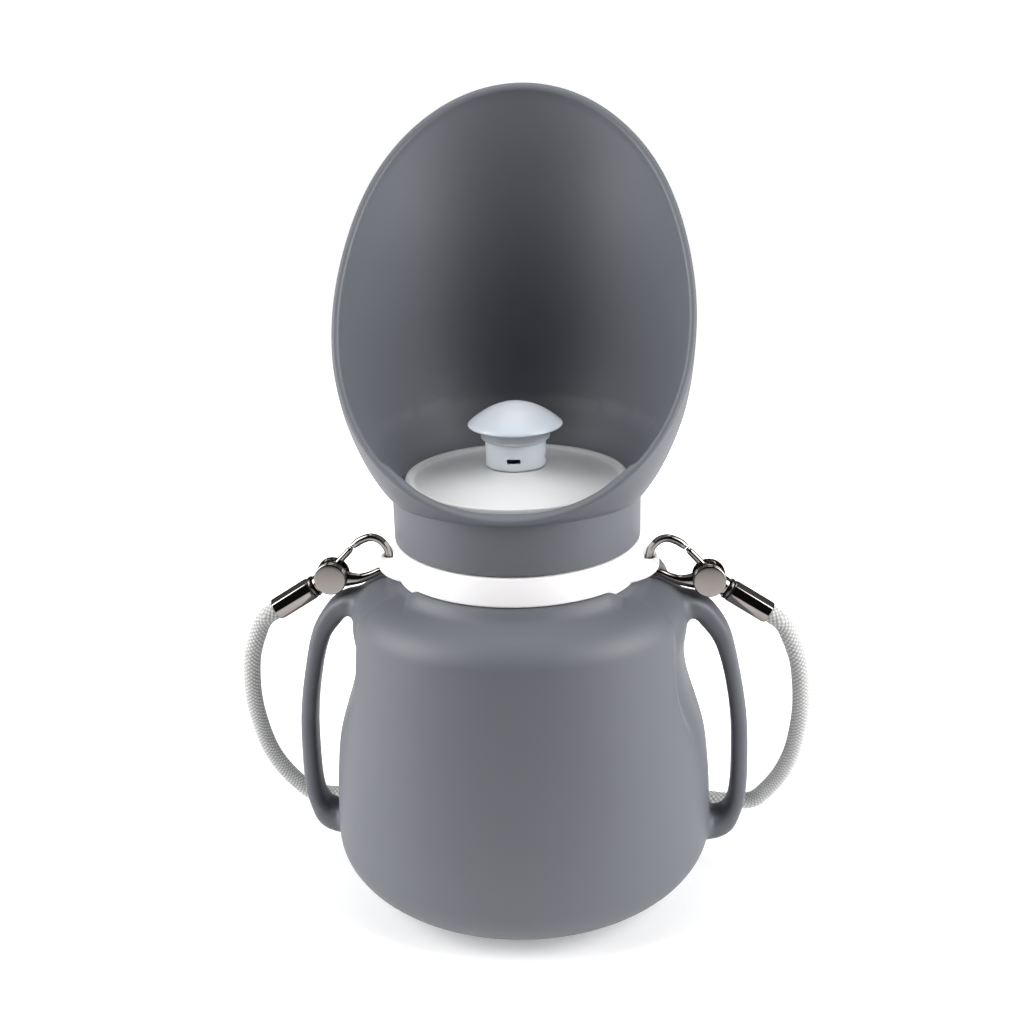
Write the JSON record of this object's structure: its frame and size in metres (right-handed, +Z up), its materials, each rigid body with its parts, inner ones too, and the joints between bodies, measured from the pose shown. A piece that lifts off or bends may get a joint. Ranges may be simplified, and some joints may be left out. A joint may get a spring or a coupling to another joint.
{
  "type": "urine bottle",
  "caption": "Grey waisted bottle with two side handles, a screw-on funnel cup with a push-down drain valve, and a braided cord on snap hooks.",
  "frame": {"origin": "centre of the flat base, at the height of the surface it stands on", "axes": "+Z up along the bottle; +X to the right-hand handle; the low side of the funnel's rim faces -Y"},
  "size_m": [0.1948, 0.1363, 0.2577],
  "materials": {
    "bottle_grey": "soft-touch satin",
    "ring_white": "satin",
    "plate_white": "satin",
    "milky_plastic": "translucent gloss",
    "clear_silicone": "satin",
    "dark_chrome": "polished",
    "dark_steel": "dark plated",
    "white_braid": "braided"
  },
  "bodies": {
    "bottle": {"bottle_body": "bottle_grey", "lanyard_ring": "ring_white"},
    "neck_gasket": {"neck_gasket": "clear_silicone"},
    "funnel": {"funnel": "bottle_grey", "drain_plate": "plate_white", "valve_tube": "milky_plastic", "tube_lock_ring": "milky_plastic"},
    "valve_cap": {"valve_cap": "milky_plastic", "stem_clip": "clear_silicone"},
    "lanyard": {"lanyard_cord": "white_braid", "ferrule_left": "dark_chrome", "swivel_stud_left": "dark_steel", "ferrule_right": "dark_chrome", "swivel_stud_right": "dark_steel"},
    "hook_left": {"hook_frame_left": "dark_chrome", "hub_cap_left": "dark_chrome", "gate_pin_left": "dark_steel", "gate_spring_left": "dark_steel"},
    "gate_left": {"gate_left": "dark_chrome"},
    "hook_right": {"hook_frame_right": "dark_chrome", "hub_cap_right": "dark_chrome", "gate_pin_right": "dark_steel", "gate_spring_right": "dark_steel"},
    "gate_right": {"gate_right": "dark_chrome"}
  },
  "joints": [
    {"name": "funnel_lift", "type": "slide", "parent": "bottle", "child": "neck_gasket", "axis": [0, 0, 1], "range_m": [0, 0.015]},
    {"name": "funnel_turn", "type": "hinge", "parent": "neck_gasket", "child": "funnel", "pos_m": [0, 0, 0.13], "axis": [0, 0, 1], "range_deg": [0, 1080]},
    {"name": "valve_push", "type": "slide", "parent": "funnel", "child": "valve_cap", "axis": [0, 0, 1], "range_m": [-0.006, 0]},
    {"name": "lanyard_swing", "type": "hinge", "parent": "bottle", "child": "lanyard", "pos_m": [0, 0, 0.1106], "axis": [1, 0, 0], "range_deg": [0, 10]},
    {"name": "hook_swivel_left", "type": "hinge", "parent": "lanyard", "child": "hook_left", "pos_m": [-0.0617, 0, 0.10525], "axis": [-0.8434, 0, -0.5373], "range_deg": [-3, 3]},
    {"name": "gate_left_hinge", "type": "hinge", "parent": "hook_left", "child": "gate_left", "pos_m": [-0.0605, 0, 0.10865], "axis": [0, 1, 0], "range_deg": [0, 22], "stiffness_Nm_per_rad": 0.01, "springref_deg": -17.19},
    {"name": "hook_swivel_right", "type": "hinge", "parent": "lanyard", "child": "hook_right", "pos_m": [0.0617, 0, 0.10525], "axis": [0.8434, 0, -0.5373], "range_deg": [-3, 3]},
    {"name": "gate_right_hinge", "type": "hinge", "parent": "hook_right", "child": "gate_right", "pos_m": [0.0605, 0, 0.10865], "axis": [0, -1, 0], "range_deg": [0, 22], "stiffness_Nm_per_rad": 0.01, "springref_deg": -17.19}
  ],
  "couplings": [
    {"joint": "funnel_lift", "follows": "funnel_turn", "m_per_rad": 0.00079577}
  ]
}
